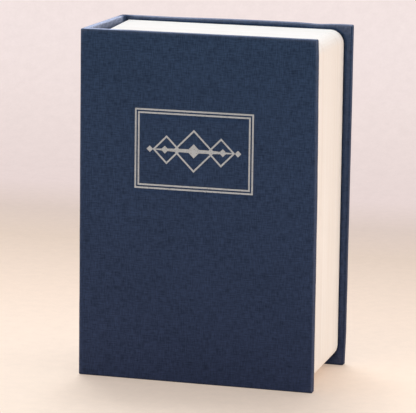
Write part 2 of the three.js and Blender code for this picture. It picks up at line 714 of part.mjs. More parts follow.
function lockBody() {
  const shell = turned([
    [0, LOCK_FRONT_Y],
    [LOCK_FLANGE - 0.5, LOCK_FRONT_Y],
    [LOCK_FLANGE, LOCK_FRONT_Y + 0.5],
    [LOCK_FLANGE, LID_FRONT_Y],
    [LOCK_FLAT - 0.3, LID_FRONT_Y],
    [LOCK_FLAT - 0.3, LID_FRONT_Y + 0.4],
    [0, LID_FRONT_Y + 0.4],
  ]);
  const barrel = doubleD(LOCK_BARREL, LOCK_FLAT, LID_FRONT_Y, LOCK_BACK_Y);
  const bore = cylinderY(PLUG_RADIUS + RUNNING, LOCK_FRONT_Y - 1, LOCK_BACK_Y + 1);
  const counterbore = cylinderY(PLUG_HEAD + RUNNING, LOCK_FRONT_Y - 1, LOCK_FRONT_Y + 1.1);
  const stopRoom = sector(
    PLUG_RADIUS - 0.5,
    LOCK_BARREL + 1,
    -90 - STOP_LUG_HALF - STOP_FREE,
    STOP_LUG_HALF + STOP_FREE,
    STOP_FRONT_Y,
    LOCK_BACK_Y + 1,
  );
  return cut(join(shell, barrel), bore, counterbore, stopRoom);
}

function lockPlug() {
  const square = CAM_SQUARE / 2;
  const turnedBody = turned([
    [0, LOCK_FRONT_Y],
    [PLUG_HEAD - 0.3, LOCK_FRONT_Y],
    [PLUG_HEAD, LOCK_FRONT_Y + 0.3],
    [PLUG_HEAD, LOCK_FRONT_Y + 1],
    [PLUG_RADIUS, LOCK_FRONT_Y + 1],
    [PLUG_RADIUS, CAM_FRONT_Y],
    [0, CAM_FRONT_Y],
  ]);
  const drive = box(-square, square, CAM_FRONT_Y - 0.5, CAM_BACK_Y - 0.1, -square, square);
  const lug = sector(
    PLUG_RADIUS - 0.5,
    LOCK_BARREL - 0.4,
    -STOP_LUG_HALF,
    STOP_LUG_HALF,
    STOP_FRONT_Y + 0.1,
    LOCK_BACK_Y - 0.1,
  );
  const keyway = box(-0.9, 0.9, LOCK_FRONT_Y - 1, STOP_FRONT_Y - 0.6, -3.1, 3.1);
  const ward = box(0.5, 1.5, LOCK_FRONT_Y - 1, STOP_FRONT_Y - 0.6, -1.9, -0.7);
  const tapping = cylinderY(1.5, LOCK_BACK_Y - 1.8, CAM_BACK_Y + 1, 12);
  return cut(join(turnedBody, drive, lug), keyway, ward, tapping);
}

const LOCK_WASHER_THICK = 0.5;

function lockNut() {
  const y0 = LID_BACK_Y + LOCK_WASHER_THICK;
  const y1 = y0 + 3;
  const halfFlats = 7;
  const corner = halfFlats / Math.cos(Math.PI / 6);
  const hex = cylinderY(corner, y0, y1, 6);
  return cut(hex, cylinderY(LOCK_BARREL + RUNNING, y0 - 1, y1 + 1));
}

// A toothed lock washer
function lockWasher() {
  const teeth = 14;
  const tipRadius = 7.7;
  const rootRadius = 7;
  const shape = new THREE.Shape();
  for (let i = 0; i < 2 * teeth; i += 1) {
    const angle = (i * Math.PI) / teeth;
    const radius = i % 2 === 0 ? tipRadius : rootRadius;
    const step = [radius * Math.cos(angle), radius * Math.sin(angle)];
    if (i === 0) shape.moveTo(...step);
    else shape.lineTo(...step);
  }
  shape.closePath();
  shape.holes.push(new THREE.Path().absarc(0, 0, LOCK_BARREL + RUNNING, 0, 2 * Math.PI, true));
  return extrudeY(shape, LID_BACK_Y, LID_BACK_Y + LOCK_WASHER_THICK, 12);
}

function lockCam() {
  const hub = 4.6;
  const arm = 3;
  const square = CAM_SQUARE / 2 + RUNNING;
  const meet = Math.acos(arm / hub);
  const shape = new THREE.Shape();
  shape.absarc(0, 0, hub, Math.PI - meet, 2 * Math.PI + meet, false);
  shape.absarc(0, CAM_REACH - arm, arm, 0, Math.PI, false);
  shape.closePath();
  const hole = new THREE.Path();
  hole.moveTo(-square, -square);
  hole.lineTo(-square, square);
  hole.lineTo(square, square);
  hole.lineTo(square, -square);
  hole.closePath();
  shape.holes.push(hole);
  return extrudeY(shape, CAM_FRONT_Y, CAM_BACK_Y, 8);
}

const CAM_SCREW_SEAT_Y = CAM_BACK_Y + 0.4;
const CAM_SCREW_RADIUS = 1.4;

function camWasher() {
  const inner = CAM_SCREW_RADIUS + 0.3;
  const outer = 3.4;
  const profile = [
    [inner, CAM_BACK_Y],
    [outer, CAM_BACK_Y],
    [outer, CAM_SCREW_SEAT_Y],
    [inner, CAM_SCREW_SEAT_Y],
    [inner, CAM_BACK_Y],
  ];
  return turned(profile, 16);
}

function camScrew() {
  const headRadius = 2.7;
  const top = CAM_SCREW_SEAT_Y + 1.4;
  const tip = LOCK_BACK_Y - 1.4;
  const profile = [
    [0, tip],
    [CAM_SCREW_RADIUS - 0.3, tip],
    [CAM_SCREW_RADIUS, tip + 0.4],
    [CAM_SCREW_RADIUS, CAM_SCREW_SEAT_Y],
    [headRadius, CAM_SCREW_SEAT_Y],
    [headRadius, top - 0.5],
    [headRadius - 0.5, top],
    [0, top],
  ];
  return cut(turned(profile, 16), ...crossRecess(top - 0.7, top + 1));
}

function addLock() {
  const lock = new THREE.Group();
  lock.position.set(LOCK_X, 0, BLOCK_MIDDLE_Z);
  safe.add(lock);
  piece("lock_body", lockBody(), CHROME, lock);
  piece("lock_plug", lockPlug(), BRASS, lock);
  piece("lock_nut", lockNut(), BRIGHT_STEEL, lock);
  piece("lock_washer", lockWasher(), BRIGHT_STEEL, lock);
  piece("lock_cam", lockCam(), BRIGHT_STEEL, lock);
  piece("cam_washer", camWasher(), BRIGHT_STEEL, lock);
  piece("cam_screw", camScrew(), BRIGHT_STEEL, lock);
}

addFrontCover();
addBackCover();
addSpine();
addPageBlock();
addPageFrame();
addTray();
addTrayScrews();
addStrike();
addLid();
addHingePin();
addLock();

export default safe;
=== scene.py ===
import math

import bmesh
import bpy
import numpy as np
from mathutils import Matrix, Vector


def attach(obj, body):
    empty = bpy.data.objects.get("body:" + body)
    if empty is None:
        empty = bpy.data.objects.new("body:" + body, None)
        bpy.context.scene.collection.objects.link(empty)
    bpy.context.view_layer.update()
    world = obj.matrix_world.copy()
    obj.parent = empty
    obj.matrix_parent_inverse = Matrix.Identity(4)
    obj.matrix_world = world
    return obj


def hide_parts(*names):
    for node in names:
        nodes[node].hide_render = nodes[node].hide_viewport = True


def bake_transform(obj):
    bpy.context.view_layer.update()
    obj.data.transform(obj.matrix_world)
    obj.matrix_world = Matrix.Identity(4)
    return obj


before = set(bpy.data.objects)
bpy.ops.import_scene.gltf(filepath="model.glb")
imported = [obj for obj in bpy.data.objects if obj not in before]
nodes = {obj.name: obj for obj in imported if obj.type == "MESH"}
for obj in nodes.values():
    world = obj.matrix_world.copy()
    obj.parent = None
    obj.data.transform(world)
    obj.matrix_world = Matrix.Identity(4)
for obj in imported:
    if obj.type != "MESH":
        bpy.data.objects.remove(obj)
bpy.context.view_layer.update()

# Sizes in millimetres, as the solids have them
MM = 0.001
HEIGHT = 115.0
SPINE_X = -40.0
FORE_X = 40.0
COVER = 2.5
SPINE = 1.9
CLOTH = 0.25
FRONT_Y = -22.5
BACK_Y = 22.5
SPINE_HALF = 19.8
CREASE_Y = 20.0
TURN_IN = 11.25
PAPER = 0.2

# The page block's outline on the back cover: spine side, fore-edge, tail and head, and its corners' radius
BLOCK = (-37.95, 37.25, 2.7, 113.3)
BLOCK_CORNER = 4.5

# How far the cloth rounds the boards' corners, outer arrises and inner arrises
CORNER = 0.52
OUTER_ARRIS = 0.45
INNER_ARRIS = 0.4

# The same for the bare cover boards inside it
BOARD_CORNER = 1.8
BOARD_ARRIS = 0.2

# How far the covers' cut is from true. The front cover's fore edge falls short along its upper half and
# again at the head corner, the back cover's along its whole height and again at the tail corner. The back
# cover's head edge falls towards the spine and dips at the block's corner.
FRONT_HALF_TRIM = 0.35
FRONT_CORNER_TRIM = 0.2
BACK_TRIM = 0.45
BACK_CORNER_TRIM = 0.3
BACK_HEAD_FALL = 0.29
BACK_HEAD_DIP = 0.26

# The strips of cloth over the creases: half width, distance from the ends and thickness
CREASE_HALF = 1.35
CREASE_END = 0.45
CREASE_SHEET = 0.2

# The front endpaper's spine side, fore-edge, tail and head
ENDPAPER = (-38.8, 36.6, 3.2, 111.8)

# The book cloth's threads, from middle to middle
THREAD = 0.42

# The stamped title panel, outer rule first
RULE_LINE = 0.55
RULES = {
    "foil_rule_outer": (-21.1, 19.0, 63.75, 90.0),
    "foil_rule_inner": (-20.05, 17.95, 64.8, 88.95),
}
STAMP_DEPTH = 0.09
STAMP_SLOPE = 0.09
# How far the foil stands above the bottom of its groove and reaches below it
FOIL_TOP = 0.035
FOIL_FOOT = 0.02
RULE_STEPS = 48


# Small helpers for numbers
def smooth(x):
    x = np.clip(x, 0.0, 1.0)
    return x * x * (3 - 2 * x)


def hill(x, width):
    return np.exp(-((x / width) ** 2))


def ripple(x, y, wavelength, phase):
    """A smooth, repeatable wave field between about -1 and 1."""
    k = 2 * math.pi / wavelength
    total = np.sin(k * (x * 0.96 + y * 0.27) + phase)
    total = total + np.sin(k * (x * -0.41 + y * 0.83) * 1.27 + phase * 2.3 + 1.1)
    total = total + np.sin(k * (x * 0.63 - y * 1.12) * 0.71 + phase * 3.1 + 2.7)
    return total / 3


def grid_line(low, high, fine_reach, fine, coarse, marks=()):
    """Grid positions from low to high, fine within fine_reach of both ends, with a line at each mark."""
    start = np.linspace(low, low + fine_reach, max(2, round(fine_reach / fine)) + 1)
    end = np.linspace(high - fine_reach, high, max(2, round(fine_reach / fine)) + 1)
    middle = high - low - 2 * fine_reach
    centre = np.linspace(low + fine_reach, high - fine_reach, max(1, round(middle / coarse)) + 1)
    values = np.concatenate([start, centre[1:-1], end])
    marks = np.array([m for m in marks if low < m < high], float)
    if len(marks):
        near = np.abs(values[:, None] - marks[None, :]).min(1) < fine * 0.25
        near[0] = near[-1] = False
        values = np.concatenate([values[~near], marks])
    return np.unique(np.round(values, 5))


# Mesh helpers
def make_object(name, points, faces, material):
    """A piece from points in millimetres in the row frame."""
    mesh = bpy.data.meshes.new(name)
    mesh.from_pydata([tuple(p) for p in np.asarray(points) * MM], [], [tuple(f) for f in faces])
    mesh.validate()
    work = bmesh.new()
    work.from_mesh(mesh)
    bmesh.ops.recalc_face_normals(work, faces=work.faces)
    work.to_mesh(mesh)
    work.free()
    mesh.shade_smooth()
    mesh.materials.append(material)
    piece = bpy.data.objects.new(name, mesh)
    bpy.context.scene.collection.objects.link(piece)
    return piece


def add_attribute(piece, name, values):
    attribute = piece.data.attributes.new(name, "FLOAT", "POINT")
    attribute.data.foreach_set("value", np.asarray(values, np.float32))


def weave_map(piece):
    """A UV map in millimetres, laid flat on whichever side of the piece each face looks to."""
    mesh = piece.data
    layer = mesh.uv_layers.new(name="weave")
    points = np.array([v.co for v in mesh.vertices]) / MM
    flat = np.zeros((len(mesh.loops), 2), np.float32)
    for face in mesh.polygons:
        side = np.abs(face.normal).argmax()
        first, second = [(1, 2), (0, 2), (0, 1)][side]
        for loop in face.loop_indices:
            p = points[mesh.loops[loop].vertex_index]
            flat[loop] = (p[first], p[second])
    layer.data.foreach_set("uv", flat.ravel())


def sharpen(piece, degrees):
    """Splits the smooth shading at edges sharper than this."""
    piece.data.set_sharp_from_angle(angle=math.radians(degrees))


# Material helpers
class Graph:
    """A node material that is put together call by call."""

    def __init__(self, name, flat_solid=False):
        self.flat_solid = flat_solid
        self.material = bpy.data.materials.new(name)
        self.material.use_nodes = True
        self.tree = self.material.node_tree
        self.tree.nodes.clear()

    def node(self, kind, inputs=None, **settings):
        made = self.tree.nodes.new(kind)
        for key, value in settings.items():
            setattr(made, key, value)
        for key, value in (inputs or {}).items():
            self.feed(made.inputs[key], value)
        return made

    def feed(self, socket, value):
        if isinstance(value, bpy.types.NodeSocket):
            self.tree.links.new(value, socket)
        else:
            socket.default_value = value

    def math(self, operation, a, b=0.0, c=0.0):
        return self.node("ShaderNodeMath", {0: a, 1: b, 2: c}, operation=operation).outputs[0]

    def mix(self, share, a, b):
        made = self.node("ShaderNodeMix", {0: share, 6: a, 7: b}, data_type="RGBA")
        return made.outputs[2]

    def scaled(self, colour, factor):
        made = self.node("ShaderNodeVectorMath", {0: colour, "Scale": factor}, operation="SCALE")
        return made.outputs[0]

    def object_mm(self, stretch=(1, 1, 1)):
        """Object coordinates in millimetres, each axis multiplied by stretch."""
        place = self.node("ShaderNodeTexCoord").outputs["Object"]
        scale = tuple(1000 * s for s in stretch)
        return self.node("ShaderNodeVectorMath", {0: place, 1: scale}, operation="MULTIPLY").outputs[0]

    def weave_mm(self, stretch=(1, 1, 1)):
        """The weave map's coordinates, in millimetres, each axis multiplied by stretch.

        A solid that has no weave map and lies flat on the front cover takes its X and Z instead.
        """
        if self.flat_solid:
            spot = self.node("ShaderNodeSeparateXYZ", {0: self.object_mm()})
            place = self.node("ShaderNodeCombineXYZ", {0: spot.outputs[0], 1: spot.outputs[2]}).outputs[0]
        else:
            place = self.node("ShaderNodeUVMap", uv_map="weave").outputs[0]
        return self.node("ShaderNodeVectorMath", {0: place, 1: stretch}, operation="MULTIPLY").outputs[0]

    def noise(self, place, size, detail=2.0, roughness=0.5):
        """Noise from 0 to 1 whose blotches are about size millimetres across."""
        made = self.node("ShaderNodeTexNoise", {"Vector": place, "Scale": 1 / size, "Detail": detail,
                                                "Roughness": roughness})
        return made.outputs[0]

    def range(self, value, low, high, new_low=0.0, new_high=1.0):
        made = self.node("ShaderNodeMapRange", {0: value, 1: low, 2: high, 3: new_low, 4: new_high})
        return made.outputs[0]

    def bump(self, height, distance, strength=1.0, normal=None):
        """Bump whose height runs from 0 to 1 over distance millimetres."""
        inputs = {"Height": height, "Distance": distance * MM, "Strength": strength}
        if normal is not None:
            inputs["Normal"] = normal
        return self.node("ShaderNodeBump", inputs).outputs[0]

    def surface(self, clear=None, **values):
        """The Principled shader on the material's output, see-through where clear is 1.

        An underscore in a value's name stands for a space.
        """
        shader = self.node("ShaderNodeBsdfPrincipled",
                           {key.replace("_", " "): value for key, value in values.items()}).outputs[0]
        if clear is not None:
            nothing = self.node("ShaderNodeBsdfTransparent").outputs[0]
            shader = self.node("ShaderNodeMixShader", {0: clear, 1: shader, 2: nothing}).outputs[0]
        self.node("ShaderNodeOutputMaterial", {0: shader})
        return self.material


def shade(red, green, blue):
    """A display colour, 0 to 255, as the linear colour that shaders take."""
    def linear(c):
        c = c / 255
        return c / 12.92 if c <= 0.04045 else ((c + 0.055) / 1.055) ** 2.4
    return (linear(red), linear(green), linear(blue), 1.0)


def woven(g):
    """Height of a plain weave, and a mask of its threads' colour changes, both from 0 to 1."""
    slub_u = g.math("SUBTRACT", g.noise(g.weave_mm((1, 0.12, 1)), 0.9), 0.5)
    slub_v = g.math("SUBTRACT", g.noise(g.weave_mm((0.12, 1, 1)), 0.9), 0.5)
    place = g.node("ShaderNodeSeparateXYZ", {0: g.weave_mm()})
    u = g.math("ADD", g.math("DIVIDE", place.outputs[0], THREAD), g.math("MULTIPLY", slub_u, 1.1))
    v = g.math("ADD", g.math("DIVIDE", place.outputs[1], THREAD), g.math("MULTIPLY", slub_v, 1.1))
    turn_u = g.math("MULTIPLY", u, math.pi)
    turn_v = g.math("MULTIPLY", v, math.pi)
    warp = g.math("ABSOLUTE", g.math("SINE", turn_u))
    weft = g.math("ABSOLUTE", g.math("SINE", turn_v))
    over = g.math("MULTIPLY", g.math("COSINE", turn_u), g.math("COSINE", turn_v))
    lift_warp = g.math("MULTIPLY_ADD", over, 0.5, 0.5)
    lift_weft = g.math("SUBTRACT", 1.0, lift_warp)
    height = g.math("MAXIMUM", g.math("MULTIPLY", g.math("SQRT", warp), lift_warp),
                    g.math("MULTIPLY", g.math("SQRT", weft), lift_weft))
    streak_u = g.noise(g.weave_mm((1, 0.14, 1)), 0.36, 3)
    streak_v = g.noise(g.weave_mm((0.14, 1, 1)), 0.36, 3)
    return height, g.math("MULTIPLY", g.math("ADD", streak_u, streak_v), 0.5)


def cloth_material(name):
    """Dark blue linen book cloth: uneven threads, faint blotches, and painted light that makes it paler
    towards the head.

    Its point attribute makes it paler above 0 (rubs and painted highlights), darker below 0 (painted shade,
    and the tail edge).
    """
    g = Graph(name)
    height, streaks = woven(g)
    blotch = g.noise(g.weave_mm(), 3.2, 4, 0.6)
    broad = g.noise(g.weave_mm(), 22, 2)
    tone = g.math("ADD", g.math("MULTIPLY", streaks, 1.4), g.math("MULTIPLY", blotch, 0.25))
    tone = g.math("ADD", tone, g.math("MULTIPLY", broad, 0.15))
    # Painted light: the cloth is paler and greener towards the head, where more light falls from above
    level = g.node("ShaderNodeSeparateXYZ", {0: g.object_mm()}).outputs[2]
    painted_head_light = g.range(level, 0, HEIGHT)
    deep = g.mix(painted_head_light, shade(24, 39, 65), shade(23, 44, 72))
    pale = g.mix(painted_head_light, shade(62, 77, 115), shade(61, 88, 125))
    colour = g.mix(g.range(tone, 0.62, 1.18), deep, pale)
    colour = g.mix(g.range(height, 0.05, 0.65, 0.6, 0.0), colour, shade(12, 22, 39))
    # Paler where the cloth is rubbed and where highlights are painted; darker where shade is painted and at
    # the tail edge
    wear_and_light = g.node("ShaderNodeAttribute", attribute_name="wear_and_light").outputs["Fac"]
    patch = g.range(g.noise(g.weave_mm(), 1.3, 4, 0.65), 0.35, 0.75, 0.5, 1.0)
    pale_share = g.math("MULTIPLY", g.math("MAXIMUM", wear_and_light, 0.0), patch)
    colour = g.mix(pale_share, colour, shade(208, 217, 243))
    dark_share = g.math("MAXIMUM", g.math("MULTIPLY", wear_and_light, -0.75), 0.0)
    colour = g.mix(dark_share, colour, shade(6, 8, 13))
    fuzz = g.noise(g.weave_mm(), 0.16, 2)
    relief = g.math("ADD", g.math("MULTIPLY", height, 0.8), g.math("MULTIPLY", fuzz, 0.2))
    normal = g.bump(relief, 0.07)
    normal = g.bump(blotch, 0.05, 0.6, normal)
    return g.surface(Base_Color=colour, Roughness=0.6, Normal=normal, Specular_IOR_Level=0.16,
                     Sheen_Weight=0.1, Sheen_Roughness=0.35, Sheen_Tint=shade(190, 210, 250))


def foil_material(name, flat_solid=False):
    """Silver stamping foil pressed into the weave: the threads print through, with a few bare spots."""
    g = Graph(name, flat_solid)
    height, streaks = woven(g)
    gaps = g.range(g.math("MULTIPLY", height, g.math("ADD", streaks, 0.6)), 0.1, 0.3)
    spots = g.range(g.noise(g.weave_mm(), 0.35, 3, 0.6), 0.33, 0.42)
    cover = g.math("MULTIPLY", g.math("ADD", g.math("MULTIPLY", gaps, 0.35), 0.65), spots)
    tone = g.noise(g.weave_mm(), 2.4, 3)
    metal = g.mix(tone, shade(180, 187, 193), shade(206, 212, 217))
    colour = g.mix(cover, shade(70, 76, 92), metal)
    return g.surface(Base_Color=colour, Metallic=g.math("MULTIPLY", cover, 0.5), Roughness=0.42,
                     Normal=g.bump(height, 0.03, 0.7))


def paper_material(name, colour_a, colour_b):
    """Uncoated paper: felted fibres and faint glue clouds."""
    g = Graph(name)
    cloud = g.noise(g.object_mm(), 14, 4, 0.6)
    fibre = g.noise(g.object_mm(), 0.35, 5, 0.7)
    tone = g.math("ADD", g.math("MULTIPLY", cloud, 0.7), g.math("MULTIPLY", fibre, 0.3))
    colour = g.mix(g.range(tone, 0.2, 0.8), colour_a, colour_b)
    normal = g.bump(fibre, 0.03, 0.7)
    normal = g.bump(cloud, 0.05, 0.4, normal)
    return g.surface(Base_Color=colour, Roughness=0.86, Normal=normal, Specular_IOR_Level=0.25)


def board_material():
    g = Graph("grey_board")
    fibre = g.noise(g.object_mm((1, 0.4, 1)), 0.5, 5, 0.7)
    fleck = g.range(g.noise(g.object_mm(), 0.8, 2), 0.62, 0.7)
    colour = g.mix(fibre, shade(128, 122, 112), shade(164, 158, 148))
    colour = g.mix(g.math("MULTIPLY", fleck, 0.6), colour, shade(92, 84, 74))
    return g.surface(Base_Color=colour, Roughness=0.95, Normal=g.bump(fibre, 0.1))


def page_material():
    """Cream moulded plastic whose edges imitate leaves: thin lines that keep to the leaf direction."""
    g = Graph("page_plastic")
    leaf = g.noise(g.object_mm((0.004, 1, 0.004)), 0.22, 3, 0.75)
    sheets = g.noise(g.object_mm((0.012, 1, 0.012)), 1.1, 2)
    cloud = g.noise(g.object_mm(), 18, 3)
    tone = g.math("ADD", g.math("MULTIPLY", leaf, 0.55), g.math("MULTIPLY", sheets, 0.45))
    colour = g.mix(g.range(tone, 0.3, 0.72), shade(236, 227, 216), shade(251, 247, 241))
    colour = g.mix(g.math("MULTIPLY", cloud, 0.12), colour, shade(240, 228, 210))
    normal = g.bump(leaf, 0.05, 0.8)
    normal = g.bump(g.noise(g.object_mm(), 0.5, 3), 0.012, 0.5, normal)
    return g.surface(Base_Color=colour, Roughness=0.5, Normal=normal, Specular_IOR_Level=0.4)


def painted_material():
    """Black powder coat on sheet steel: fine orange peel and a few duller clouds."""
    g = Graph("black_steel")
    peel = g.noise(g.object_mm(), 0.55, 3, 0.55)
    cloud = g.noise(g.object_mm(), 16, 3)
    colour = g.mix(cloud, shade(30, 31, 34), shade(41, 42, 46))
    rough = g.math("ADD", g.math("MULTIPLY", cloud, 0.2), 0.36)
    return g.surface(Base_Color=colour, Roughness=rough, Normal=g.bump(peel, 0.025))


def metal_material(name, colour_a, colour_b, rough):
    """Bare or plated metal: fine grain, handling marks in the gloss."""
    g = Graph(name)
    lines = g.noise(g.object_mm(), 0.25, 4, 0.65)
    smear = g.noise(g.object_mm(), 3.5, 4, 0.6)
    colour = g.mix(g.math("ADD", g.math("MULTIPLY", lines, 0.5), g.math("MULTIPLY", smear, 0.5)),
                   colour_a, colour_b)
    gloss = g.math("ADD", g.math("MULTIPLY", smear, 0.18), rough)
    return g.surface(Base_Color=colour, Metallic=1.0, Roughness=gloss, Normal=g.bump(lines, 0.008, 0.6))


def make_materials():
    return {
        "book_cloth": cloth_material("book_cloth"),
        "grey_board": board_material(),
        "endpaper": paper_material("endpaper", shade(233, 224, 206), shade(247, 241, 229)),
        "page_plastic": page_material(),
        "black_steel": painted_material(),
        "bright_steel": metal_material("bright_steel", shade(172, 175, 180), shade(208, 210, 212), 0.24),
        "lock_chrome": metal_material("lock_chrome", shade(214, 216, 219), shade(236, 237, 238), 0.08),
        "lock_plug_metal": metal_material("lock_plug_metal", shade(176, 146, 84), shade(208, 182, 122), 0.2),
        "silver_foil": foil_material("silver_foil"),
        "silver_foil_flat": foil_material("silver_foil_flat", flat_solid=True),
    }


# Which side of a wrapped board a point lies on
OUTER_FACE, OUTER_ROUND, EDGE_FACE, INNER_ROUND, INNER_FACE = range(5)


# Boards wrapped in cloth
class Slab:
    """A wrapped board in its own coordinates: a and b across its faces, t from its outer face inwards."""

    STEPS = 4
    COARSE = 2.2

    def __init__(self, a_range, b_range, thick, corner, a_marks=(), b_marks=(), fine_reach=12.5, fine=0.4):
        self.a_range = a_range
        self.b_range = b_range
        self.thick = thick
        self.corner = corner
        low_a, high_a = a_range[0] + corner, a_range[1] - corner
        low_b, high_b = b_range[0] + corner, b_range[1] - corner
        self.a_line = grid_line(low_a, high_a, min(fine_reach, (high_a - low_a) / 2.5), fine, self.COARSE,
                                a_marks)
        self.b_line = grid_line(low_b, high_b, fine_reach, fine, self.COARSE, b_marks)
        self.points = []
        self.kinds = []
        self.ways = []
        self.faces = []
        self.border = self.walk_border()

    def walk_border(self):
        """The flat faces' border, anticlockwise: (grid index, base a, base b, direction a, direction b)."""
        columns, rows = len(self.a_line), len(self.b_line)
        sides = [
            ([(i, 0) for i in range(columns)], -90),
            ([(columns - 1, j) for j in range(rows)], 0),
            ([(i, rows - 1) for i in reversed(range(columns))], 90),
            ([(0, j) for j in reversed(range(rows))], 180),
        ]
        border = []
        for cells, angle in sides:
            turn = math.radians(angle)
            for i, j in cells:
                border.append((i * rows + j, self.a_line[i], self.b_line[j], math.cos(turn), math.sin(turn)))
            i, j = cells[-1]
            for step in range(1, self.STEPS):
                turn = math.radians(angle + 90 * step / self.STEPS)
                border.append((i * rows + j, self.a_line[i], self.b_line[j], math.cos(turn), math.sin(turn)))
        return border

    def add_face(self, t, kind):
        """A flat grid at depth t. Returns the index of its first point."""
        first = len(self.points)
        rows = len(self.b_line)
        for a in self.a_line:
            for b in self.b_line:
                self.points.append((a, b, t))
                self.kinds.append(kind)
                self.ways.append((0.0, 0.0))
        for i in range(len(self.a_line) - 1):
            for j in range(rows - 1):
                corner = first + i * rows + j
                self.faces.append((corner, corner + 1, corner + rows + 1, corner + rows))
        return first

    def add_ring(self, inset, t, kind):
        first = len(self.points)
        for _, a, b, way_a, way_b in self.border:
            reach = self.corner - inset
            self.points.append((a + reach * way_a, b + reach * way_b, t))
            self.kinds.append(kind)
            self.ways.append((way_a, way_b))
        return first

    def join_rings(self, low, high):
        count = len(self.border)
        for i in range(count):
            k = (i + 1) % count
            self.faces.append((low + i, low + k, high + k, high + i))

    def join_face(self, face, ring):
        count = len(self.border)
        for i in range(count):
            k = (i + 1) % count
            g_i, g_k = face + self.border[i][0], face + self.border[k][0]
            if g_i == g_k:
                self.faces.append((g_i, ring + k, ring + i))
            else:
                self.faces.append((g_i, g_k, ring + k, ring + i))

    def build(self, outer_round, inner_round):
        """Outer face, rounded edge and inner face, joined into one closed skin."""
        outer = self.add_face(0.0, OUTER_FACE)
        rings = []
        for step in range(self.STEPS + 1):
            turn = math.pi / 2 * step / self.STEPS
            rings.append((outer_round * (1 - math.sin(turn)), outer_round * (1 - math.cos(turn)),
                          OUTER_ROUND))
        flat = self.thick - outer_round - inner_round
        for share in (0.33, 0.66):
            rings.append((0.0, outer_round + flat * share, EDGE_FACE))
        for step in range(self.STEPS + 1):
            turn = math.pi / 2 * step / self.STEPS
            rings.append((inner_round * (1 - math.cos(turn)),
                          self.thick - inner_round * (1 - math.sin(turn)), INNER_ROUND))
        indices = [self.add_ring(*ring) for ring in rings]
        self.join_face(outer, indices[0])
        for low, high in zip(indices, indices[1:]):
            self.join_rings(low, high)
        inner = self.add_face(self.thick, INNER_FACE)
        self.join_face(inner, indices[-1])
        self.points = np.array(self.points)
        self.kinds = np.array(self.kinds)
        self.ways = np.array(self.ways)


def edge_distance(slab):
    """Each point's distances from the four edges: low a, high a, low b, high b."""
    a, b = slab.points[:, 0], slab.points[:, 1]
    return a - slab.a_range[0], slab.a_range[1] - a, b - slab.b_range[0], slab.b_range[1] - b


def wear_and_light_of(slab, head_highlight, fore_edge_shade=0.0):
    """Above 0 where the cloth is rubbed pale and where a highlight is painted on the head edge, 0 on the
    faces
    and below 0 where it is darker: painted shade on the fore edge, and the tail edge.

    The second argument is how strong the painted highlight on the head edge is, the third how dark the
    painted shade on the fore edge is.
    """
    t = slab.points[:, 2]
    low_a, high_a, low_b, high_b = edge_distance(slab)
    side = np.minimum(np.minimum(low_a, high_a), np.minimum(low_b, high_b))
    arris_out = hill(side - OUTER_ARRIS * 0.3, 0.4) * hill(t - OUTER_ARRIS * 0.3, 0.4)
    arris_in = hill(side - INNER_ARRIS * 0.3, 0.4) * hill(slab.thick - t - INNER_ARRIS * 0.3, 0.4)
    corner_out = hill(np.hypot(np.minimum(low_a, high_a), np.minimum(low_b, high_b)), 1.6)
    # The head edge, where a highlight is painted
    head = smooth(1.3 - high_b / 0.5) * smooth(t / OUTER_ARRIS - 0.3)
    pale_share = 0.1 * arris_out + 0.06 * arris_in + 0.08 * corner_out * (side < 1.6)
    # Painted shade on the fore edge's face
    darkening = fore_edge_shade * smooth(1.3 - high_a / 0.5) * smooth(t / OUTER_ARRIS - 0.3)
    # Darker along the tail edge
    darkening += 0.6 * smooth(1.2 - low_b / 0.6)
    # Rubbed arrises and corners, the painted highlight on the head edge, less the darkening
    return np.clip(pale_share + head_highlight * head - darkening, -1, 1)


def soften_rim(slab, phase, amount=0.055):
    """Cloth over a cut board never runs quite straight: the rim wanders in and the faces are uneven."""
    a, b, t = slab.points.T.copy()
    wander = amount * 0.5 * (ripple(a, b, 23.0, phase) - 1)
    wander += amount * 0.2 * (ripple(b, a, 6.1, phase + 2) - 1)
    slab.points[:, 0] += slab.ways[:, 0] * wander
    slab.points[:, 1] += slab.ways[:, 1] * wander
    faces = (slab.kinds == OUTER_FACE) | (slab.kinds == INNER_FACE)
    uneven = 0.03 * (ripple(a, b, 31.0, phase + 4) + 1) * 0.5
    slab.points[:, 2] += np.where(faces, np.where(slab.kinds == OUTER_FACE, uneven, -uneven), 0)


def turn_ins(slab, mitred):
    """The cloth's turned-in border on the inner face, at head and tail and, where mitred, at the fore edge.

    Where the fore edge's border meets another it is folded over it in a mitre.
    """
    _, high_a, low_b, high_b = edge_distance(slab)
    a, b = slab.points[:, 0], slab.points[:, 1]
    inner = slab.kinds == INNER_FACE
    ragged = 0.18 * ripple(a, b, 5.3, 1.7)
    side_b = np.minimum(low_b, high_b)
    side_a = high_a if mitred else np.full_like(high_a, 99.0)
    border = np.minimum(side_a, side_b) + ragged
    step = smooth((border - TURN_IN) / 0.5 + 0.5)
    slab.points[:, 2] -= np.where(inner, 0.22 * step, 0)
    if mitred:
        corner = (side_a < TURN_IN + 1) & (side_b < TURN_IN + 1)
        across = side_a - side_b
        groove = 0.16 * hill(across - 0.1, 0.3)
        overlap = 0.14 * smooth(-across / 0.35 + 0.2) * smooth(1 + across / 7)
        slab.points[:, 2] += np.where(inner & corner, overlap - groove, 0)


def pinch_corners(slab):
    """The little tuck at the tip of each folded corner."""
    _, side_a, low_b, high_b = edge_distance(slab)
    middle = slab.thick * 0.62
    rim = (slab.kinds != OUTER_FACE) & (slab.kinds != INNER_FACE)
    for side_b in (low_b, high_b):
        near = hill(np.hypot(side_a, side_b), 1.25) * hill(slab.points[:, 2] - middle, 0.6)
        for axis in (0, 1):
            slab.points[:, axis] -= np.where(rim, slab.ways[:, axis] * near * 0.12, 0)
        seam = hill(side_b - 0.5, 4.0) * hill(slab.points[:, 2] - middle, 0.32) * (side_a < 0.6) * 0.13
        slab.points[:, 0] -= np.where(rim, np.abs(slab.ways[:, 0]) * seam, 0)


